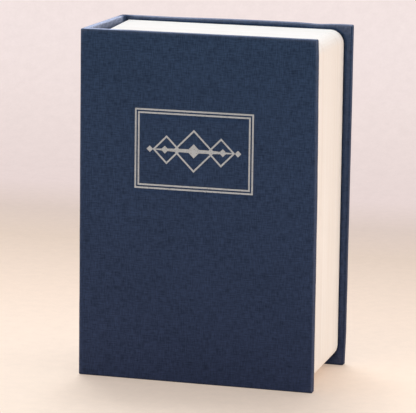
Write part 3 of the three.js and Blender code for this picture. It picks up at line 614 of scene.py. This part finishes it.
def stamp(slab):
    """Sinks the title rules into the outer face."""
    a, b = slab.points[:, 0], slab.points[:, 1]
    depth = np.zeros_like(a)
    for left, right, tail, head in RULES.values():
        out = (a > left - 1e-3) & (a < right + 1e-3) & (b > tail - 1e-3) & (b < head + 1e-3)
        hole = ((a > left + RULE_LINE + 1e-3) & (a < right - RULE_LINE - 1e-3)
                & (b > tail + RULE_LINE + 1e-3) & (b < head - RULE_LINE - 1e-3))
        depth = np.maximum(depth, np.where(out & ~hole, STAMP_DEPTH, 0))
    slab.points[:, 2] += np.where(slab.kinds == OUTER_FACE, depth, 0)


def rule_marks(low_key, high_key):
    """Grid lines at both sides of every stamped line's edges."""
    marks = []
    for box in RULES.values():
        low, high = box[low_key], box[high_key]
        marks += [low - STAMP_SLOPE, low, low + RULE_LINE, low + RULE_LINE + STAMP_SLOPE]
        marks += [high + STAMP_SLOPE, high, high - RULE_LINE, high - RULE_LINE - STAMP_SLOPE]
    return marks


def finish_cloth(piece, wear_and_light, body, *replaced):
    add_attribute(piece, "wear_and_light", wear_and_light)
    weave_map(piece)
    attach(piece, body)
    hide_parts(*replaced)


def near_head(b, reach):
    """0 further than reach below the head edge, rising to 1 at it."""
    return smooth((b - HEIGHT + reach) / reach)


def trim_fore_edge(slab, amount):
    """Boards are cut by hand, so their fore edge isn't quite parallel to the spine."""
    near = smooth((slab.points[:, 0] - FORE_X + 8) / 8)
    slab.points[:, 0] -= amount * near


def shape_front(slab):
    """The front cover narrows towards its head, a little faster next to the corner."""
    b = slab.points[:, 1]
    trim_fore_edge(slab, FRONT_HALF_TRIM * smooth((b - 60) / 55) + FRONT_CORNER_TRIM * near_head(b, 7))


def shape_back(slab):
    """The back cover narrows towards its tail, faster next to the corner.

    Its head edge falls towards the spine and dips at the block's corner.
    """
    a, b = slab.points[:, 0], slab.points[:, 1]
    trim = BACK_TRIM * smooth((HEIGHT - b) / HEIGHT) + BACK_CORNER_TRIM * smooth((12 - b) / 12)
    trim_fore_edge(slab, trim)
    fall = BACK_HEAD_FALL * smooth((9 - a) / 34) + BACK_HEAD_DIP * hill(a - 28, 4.2)
    slab.points[:, 1] -= fall * near_head(b, 8)


def make_board(name, place, shape, body, replaced, board):
    """The grey board inside a cover's cloth. place turns a depth from the outer face into a Y."""
    slab = Slab((SPINE_X + CLOTH, FORE_X - CLOTH), (CLOTH, HEIGHT - CLOTH), COVER - 2 * CLOTH,
                BOARD_CORNER, fine_reach=9.0, fine=3.0)
    slab.build(BOARD_ARRIS, BOARD_ARRIS)
    shape(slab)
    a, b, t = slab.points.T
    piece = make_object(name, np.stack([a, place(t + CLOTH), b], 1), slab.faces, board)
    sharpen(piece, 40)
    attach(piece, body)
    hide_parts(replaced)


def front_y(depth):
    return FRONT_Y + depth


def back_y(depth):
    return BACK_Y - depth


def make_front_cloth(cloth):
    slab = Slab((SPINE_X, FORE_X), (0.0, HEIGHT), COVER, CORNER, rule_marks(0, 1), rule_marks(2, 3))
    slab.build(OUTER_ARRIS, INNER_ARRIS)
    # Painted highlight along the head edge, brightest next to the spine
    head_highlight = 0.14 + 0.86 * smooth((-23 - slab.points[:, 0]) / 6)
    # Painted shade on the fore edge
    wear_and_light = wear_and_light_of(slab, head_highlight, 0.4)
    soften_rim(slab, 0.4)
    turn_ins(slab, True)
    pinch_corners(slab)
    stamp(slab)
    shape_front(slab)
    a, b, t = slab.points.T
    piece = make_object("front_cover_cloth", np.stack([a, front_y(t), b], 1), slab.faces, cloth)
    finish_cloth(piece, wear_and_light, "front_cover", "front_cloth")


def beside_block(slab):
    """How far each point lies outside the page block's outline on the back cover."""
    left, right, tail, head = BLOCK
    over_a = np.maximum(left + BLOCK_CORNER - slab.points[:, 0], slab.points[:, 0] - right + BLOCK_CORNER)
    over_b = np.maximum(tail + BLOCK_CORNER - slab.points[:, 1], slab.points[:, 1] - head + BLOCK_CORNER)
    return np.hypot(np.maximum(over_a, 0), np.maximum(over_b, 0)) - BLOCK_CORNER


def make_back_cloth(cloth):
    slab = Slab((SPINE_X, FORE_X), (0.0, HEIGHT), COVER, CORNER)
    slab.build(OUTER_ARRIS, INNER_ARRIS)
    a, b, _ = slab.points.T
    upper = smooth((b - 60) / 50)
    # Painted highlight along the head edge, stronger towards the spine
    head_highlight = 0.27 + 0.14 * smooth((10 - a) / 30) - 0.3 * smooth((-35 - a) / 3)
    # Painted shade on the fore edge, weaker towards the head
    wear_and_light = wear_and_light_of(slab, head_highlight, 0.55 - 0.35 * upper)
    # The inner face: painted shadow in the gap beside the page block, wider towards the tail, fainter at the
    # head
    head = smooth((b - HEIGHT + 4) / 2)
    darkening = (1 - 0.6 * head) * hill(beside_block(slab), 0.5 + 0.5 * smooth((14 - b) / 8))
    # Painted light on the inner face, more towards the head, less the painted shadow beside the block
    wear_and_light += (slab.kinds == INNER_FACE) * (0.03 + 0.03 * upper + 0.07 * head - darkening)
    soften_rim(slab, 1.9)
    turn_ins(slab, True)
    pinch_corners(slab)
    shape_back(slab)
    a, b, t = slab.points.T
    piece = make_object("back_cover_cloth", np.stack([a, back_y(t), b], 1), slab.faces, cloth)
    finish_cloth(piece, wear_and_light, "root", "back_cloth")


def make_spine_cloth(cloth):
    slab = Slab((-SPINE_HALF, SPINE_HALF), (0.0, HEIGHT), SPINE, CORNER)
    slab.build(OUTER_ARRIS, INNER_ARRIS)
    a, b, _ = slab.points.T
    # The inner face near the head: painted light, strongest towards the front, turning to painted shade at
    # the back end
    inside = 0.55 + 0.25 * smooth((-4 - a) / 12) - 0.95 * smooth((a - 14) / 3.5)
    inside *= smooth((b - HEIGHT + 9) / 7) * (slab.kinds >= INNER_ROUND)
    # A painted highlight along the spine's head edge, nearly white, fading at its back end
    top = 0.95 - 0.85 * smooth((a - 11) / 5)
    wear_and_light = np.clip(wear_and_light_of(slab, top) + inside, -1, 1)
    soften_rim(slab, 3.3, 0.04)
    turn_ins(slab, False)
    a, b, t = slab.points.T
    piece = make_object("spine_outer_cloth", np.stack([SPINE_X + t, a, b], 1), slab.faces, cloth)
    finish_cloth(piece, wear_and_light, "spine", "spine_cloth")


def make_joint_cloth(name, side, replaced, cloth):
    """The strip of cloth that bridges a crease between the spine and a cover. side is -1 front, 1 back."""
    crease = side * CREASE_Y
    across = np.linspace(-CREASE_HALF, CREASE_HALF, 19)
    along = np.linspace(CREASE_END, HEIGHT - CREASE_END, 90)
    sunk = 0.06 + 0.2 * hill(across, 0.42)
    tucked = 0.22 * smooth((np.abs(across) - 0.95) / 0.4)
    points, faces = [], []
    for depth in (0.0, CREASE_SHEET):
        for z in along:
            wave = 0.02 * ripple(np.array([z]), np.array([0.0]), 9.0, 1.0 + side)[0]
            for s, lift in zip(across, sunk + tucked):
                points.append((SPINE_X + lift + depth + wave, crease + s, z))
    columns, rows = len(across), len(along)
    layer = columns * rows

    def at(k, j, i):
        return k * layer + j * columns + i

    for k in range(2):
        for j in range(rows - 1):
            for i in range(columns - 1):
                faces.append((at(k, j, i), at(k, j, i + 1), at(k, j + 1, i + 1), at(k, j + 1, i)))
    for j in range(rows - 1):
        for i in (0, columns - 1):
            faces.append((at(0, j, i), at(0, j + 1, i), at(1, j + 1, i), at(1, j, i)))
    for i in range(columns - 1):
        for j in (0, rows - 1):
            faces.append((at(0, j, i), at(0, j, i + 1), at(1, j, i + 1), at(1, j, i)))
    piece = make_object(name, points, faces, cloth)
    add_attribute(piece, "wear_and_light", np.full(len(points), 0.1))
    weave_map(piece)
    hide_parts(replaced)
    if side < 0:
        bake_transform(piece)
    else:
        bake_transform(piece)


def make_front_endpaper(paper):
    """The pasted sheet inside the front cover. The turned-in cloth shows through it as a soft step."""
    left, right, tail, head = ENDPAPER
    a_line = grid_line(left, right, 11.0, 0.45, 2.0)
    b_line = grid_line(tail, head, 11.0, 0.45, 2.0)
    a, b = np.meshgrid(a_line, b_line, indexing="ij")
    border = np.minimum(FORE_X - a, np.minimum(b, HEIGHT - b))
    sink = 0.2 * smooth((border - TURN_IN) / 1.6 + 0.3) + 0.02 * (ripple(a, b, 14.0, 0.8) + 1)
    top = FRONT_Y + COVER + PAPER - sink
    points = [(x, y, z) for x, y, z in zip(a.ravel(), top.ravel(), b.ravel())]
    under = top - PAPER * 0.9
    points += [(x, y, z) for x, y, z in zip(a.ravel(), under.ravel(), b.ravel())]
    rows, columns = len(b_line), len(a_line)
    layer = rows * columns
    faces = []
    for k in range(2):
        for i in range(columns - 1):
            for j in range(rows - 1):
                c = k * layer + i * rows + j
                faces.append((c, c + 1, c + rows + 1, c + rows))
    rim = [i * rows for i in range(columns)] + [(columns - 1) * rows + j for j in range(1, rows)]
    rim += [i * rows + rows - 1 for i in reversed(range(columns - 1))]
    rim += [j for j in reversed(range(1, rows - 1))]
    for here, there in zip(rim, rim[1:] + rim[:1]):
        faces.append((here, there, there + layer, here + layer))
    piece = make_object("front_endpaper", points, faces, paper)
    sharpen(piece, 40)
    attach(piece, "front_cover")
    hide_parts("front_pastedown")


def make_rule(name, foil):
    """One stamped rule: a thin foil frame at the bottom of its groove, with slightly uneven sides."""
    left, right, tail, head = RULES[name]
    top = FRONT_Y + STAMP_DEPTH - FOIL_TOP
    low = FRONT_Y + STAMP_DEPTH + FOIL_FOOT
    loops = [(0.0, low), (0.0, top), (RULE_LINE, top), (RULE_LINE, low)]
    corners = [(left, tail), (right, tail), (right, head), (left, head)]
    inward = [(1, 1), (-1, 1), (-1, -1), (1, -1)]
    points = []
    for inset, y in loops:
        for k in range(4):
            (x0, z0), (x1, z1) = corners[k], corners[(k + 1) % 4]
            (i0, j0), (i1, j1) = inward[k], inward[(k + 1) % 4]
            for s in range(RULE_STEPS):
                share = s / RULE_STEPS
                x = (x0 + i0 * inset) * (1 - share) + (x1 + i1 * inset) * share
                z = (z0 + j0 * inset) * (1 - share) + (z1 + j1 * inset) * share
                uneven = 0.022 * math.sin(0.9 * x + 1.7 * z + 3 * inset) * math.sin(3.1 * x - 2.3 * z)
                uneven *= math.sin(math.pi * share)
                if k % 2:
                    x += uneven
                else:
                    z += uneven
                points.append((x, y, z))
    count = 4 * RULE_STEPS
    faces = []
    for r in range(4):
        for i in range(count):
            n = (i + 1) % count
            q = (r + 1) % 4
            faces.append((r * count + i, r * count + n, q * count + n, q * count + i))
    piece = make_object(name + "_foil", points, faces, foil)
    sharpen(piece, 30)
    weave_map(piece)
    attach(piece, "front_cover")
    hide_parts(name)


# Carried-over solids
NODE_MATERIALS = {
    "grey_board": ["spine_board"],
    "endpaper": ["back_pastedown", "spine_lining"],
    "page_plastic": ["page_block", "page_frame"],
    "black_steel": ["steel_tray", "lid"],
    "bright_steel": ["hinge_pin", "strike", "lock_washer", "cam_washer", "cam_screw", "lock_cam", "lock_nut",
                     "tray_screw_1", "tray_screw_2", "tray_screw_3", "tray_screw_4"],
    "lock_chrome": ["lock_body"],
    "lock_plug_metal": ["lock_plug"],
    "silver_foil_flat": ["foil_ornament"],
}


def dress_nodes(materials):
    for slot, names in NODE_MATERIALS.items():
        for name in names:
            nodes[name].data.materials.clear()
            nodes[name].data.materials.append(materials[slot])


# Floor, backdrop, light and camera
SWEEP_START = 330.0
SWEEP_RADIUS = 120.0
SWEEP_STEPS = 24
WALL_HEIGHT = 400.0
FLOOR_REACH = 3000.0
# How much of its own colour the floor glows with: painted light that lifts the shade on it, though it is no
# lamp
FLOOR_GLOW = 0.33
# The ways along the sweep between which it rises to all of its colour
GLOW_RISE = (200, 420)
# Colours along the sweep, by the way from the book's middle in millimetres: painted shade, darkest just in
# front of the curve
BACKDROP_STOPS = [(-300, (254, 235, 216)), (10, (251, 230, 211)), (100, (239, 217, 198)),
                  (205, (217, 197, 180)), (265, (215, 197, 186)), (330, (231, 214, 210)),
                  (400, (239, 223, 220)), (450, (243, 228, 226)), (520, (247, 232, 229)),
                  (900, (248, 234, 231))]


def backdrop_material():
    """A paper sweep. Its colour goes by the way along it, and it glows more as it rises behind the book.

    Its back is see-through, so that it doesn't hide the book from behind.
    """
    g = Graph("backdrop_paper")
    way = g.node("ShaderNodeAttribute", attribute_name="way").outputs["Fac"]
    low, high = BACKDROP_STOPS[0][0], BACKDROP_STOPS[-1][0]
    ramp = g.node("ShaderNodeValToRGB", {0: g.range(way, low, high)})
    elements = ramp.color_ramp.elements
    while len(elements) < len(BACKDROP_STOPS):
        elements.new(0.5)
    for element, (position, colour) in zip(elements, BACKDROP_STOPS):
        element.position = (position - low) / (high - low)
        element.color = shade(*colour)
    speckle = g.math("ADD", g.noise(g.object_mm(), 1.1, 4, 0.7), g.noise(g.object_mm(), 4.5, 3, 0.6))
    grain = g.range(speckle, 0.7, 1.3, 0.965, 1.025)
    paper = g.scaled(ramp.outputs[0], grain)
    own = g.range(way, *GLOW_RISE, FLOOR_GLOW, 1.0)
    base = g.scaled(paper, g.math("SUBTRACT", 1.0, own))
    behind = g.node("ShaderNodeNewGeometry").outputs["Backfacing"]
    return g.surface(clear=behind, Base_Color=base, Roughness=0.8, Specular_IOR_Level=0.0,
                     Emission_Color=paper, Emission_Strength=own)


def make_stage():
    """The table top, which rises behind the book in one smooth curve."""
    profile = [(y, 0.0, y) for y in (-FLOOR_REACH, -600.0, 0.0, 150.0, SWEEP_START)]
    for step in range(1, SWEEP_STEPS + 1):
        turn = math.pi / 2 * step / SWEEP_STEPS
        profile.append((SWEEP_START + SWEEP_RADIUS * math.sin(turn), SWEEP_RADIUS * (1 - math.cos(turn)),
                        SWEEP_START + SWEEP_RADIUS * turn))
    y, z, way = profile[-1]
    profile.append((y, z + WALL_HEIGHT, way + WALL_HEIGHT))
    points = [(x, y, z) for y, z, _ in profile for x in (-FLOOR_REACH, FLOOR_REACH)]
    faces = [(2 * i, 2 * i + 1, 2 * i + 3, 2 * i + 2) for i in range(len(profile) - 1)]
    backdrop = make_object("backdrop", points, faces, backdrop_material())
    if backdrop.data.polygons[0].normal.z < 0:
        backdrop.data.flip_normals()
    add_attribute(backdrop, "way", [way for _, _, way in profile for _ in range(2)])


class WorldGraph(Graph):
    """The same helpers for the world's nodes."""

    def __init__(self, name):
        world = bpy.data.worlds.new(name)
        bpy.context.scene.world = world
        world.use_nodes = True
        self.tree = world.node_tree
        self.tree.nodes.clear()


# The studio's light by direction: near the horizon, what is added overhead, and what is added towards the
# right, behind and above, where less than 0 makes that side darker
SKY_LOW = 0.42
SKY_HIGH = 0.5
SKY_SIDE = (-0.39, 0.15, 0.0)
# The way towards which the light turns from warm to cool, both tints, and what the camera sees of the sky
SKY_COOL = (0.0, 0.5, 1.0)
WARM_TINT = (1.0, 0.91, 0.88, 1)
COOL_TINT = (1.0, 1.1, 1.25, 1)
SEEN_COLOUR = shade(243, 229, 226)


def make_world():
    """A soft room that is brightest above the book, cool there and behind it and warmer at its sides."""
    g = WorldGraph("studio")
    way = g.node("ShaderNodeTexCoord").outputs["Generated"]
    side = g.node("ShaderNodeVectorMath", {0: way, 1: SKY_SIDE}, operation="DOT_PRODUCT").outputs["Value"]
    height = g.node("ShaderNodeSeparateXYZ", {0: way}).outputs[2]
    upper = g.math("MULTIPLY", g.math("MULTIPLY", height, height), SKY_HIGH)
    level = g.math("ADD", g.math("ADD", side, SKY_LOW), upper)
    cool = g.node("ShaderNodeVectorMath", {0: way, 1: SKY_COOL}, operation="DOT_PRODUCT").outputs["Value"]
    tint = g.mix(g.range(cool, 0.0, 0.9), WARM_TINT, COOL_TINT)
    light = g.node("ShaderNodeBackground", {0: tint, 1: level})
    seen = g.node("ShaderNodeBackground", {0: SEEN_COLOUR, 1: 1.0})
    path = g.node("ShaderNodeLightPath")
    mix = g.node("ShaderNodeMixShader", {0: path.outputs["Is Camera Ray"], 1: light.outputs[0],
                                         2: seen.outputs[0]})
    output = g.node("ShaderNodeOutputWorld")
    g.tree.links.new(mix.outputs[0], output.inputs[0])


def make_lamp(name, place, size, power, colour):
    """A square soft box, in metres, that looks at the middle of the book."""
    lamp = bpy.data.lights.new(name, "AREA")
    lamp.size = size
    lamp.energy = power
    lamp.color = colour
    holder = bpy.data.objects.new(name, lamp)
    holder.location = place
    aim = Vector((0, 0, 0.05)) - Vector(place)
    holder.rotation_mode = "QUATERNION"
    holder.rotation_quaternion = aim.to_track_quat("-Z", "Y")
    bpy.context.scene.collection.objects.link(holder)


def make_lights():
    make_world()
    make_lamp("overhead_box", place=(-0.27, 0.66, 1.85), size=0.65, power=18.5, colour=(0.93, 1.02, 1.08))
    make_lamp("low_side_box", place=(1.1, -0.05, 0.12), size=0.3, power=4.5, colour=(1.0, 0.95, 0.93))


# The camera, from a least-squares fit to the book's corners and edges in the photograph
CAMERA_PLACE = (0.2966, -0.9819, 0.2389)
CAMERA_YAW = 16.96
CAMERA_PITCH = 10.16
CAMERA_ROLL = 0.73
CAMERA_LENS = 273.0


def make_camera():
    yaw, pitch, roll = (math.radians(d) for d in (CAMERA_YAW, CAMERA_PITCH, CAMERA_ROLL))
    forward = Vector((-math.sin(yaw) * math.cos(pitch), math.cos(yaw) * math.cos(pitch), -math.sin(pitch)))
    level = Vector((math.cos(yaw), math.sin(yaw), 0))
    rise = level.cross(forward)
    right = math.cos(roll) * level + math.sin(roll) * rise
    up = -math.sin(roll) * level + math.cos(roll) * rise
    data = bpy.data.cameras.new("photo_camera")
    data.lens = CAMERA_LENS
    data.sensor_width = 36
    data.clip_start = 0.05
    data.clip_end = 20
    camera = bpy.data.objects.new("photo_camera", data)
    columns = Matrix((right, up, -forward)).transposed()
    camera.matrix_world = Matrix.Translation(CAMERA_PLACE) @ columns.to_4x4()
    bpy.context.scene.collection.objects.link(camera)
    bpy.context.scene.camera = camera


# The scene
make_camera()
bpy.context.scene.view_settings.view_transform = "Standard"
make_stage()
make_lights()
materials = make_materials()
dress_nodes(materials)
cloth = materials["book_cloth"]
board = materials["grey_board"]
make_board("front_cover_board", front_y, shape_front, "front_cover", "front_board", board)
make_board("back_cover_board", back_y, shape_back, "root", "back_board", board)
make_front_cloth(cloth)
make_back_cloth(cloth)
make_spine_cloth(cloth)
make_joint_cloth("front_crease_cloth", -1, "front_joint_cloth", cloth)
make_joint_cloth("back_crease_cloth", 1, "back_joint_cloth", cloth)
make_front_endpaper(materials["endpaper"])
make_rule("foil_rule_outer", materials["silver_foil"])
make_rule("foil_rule_inner", materials["silver_foil"])
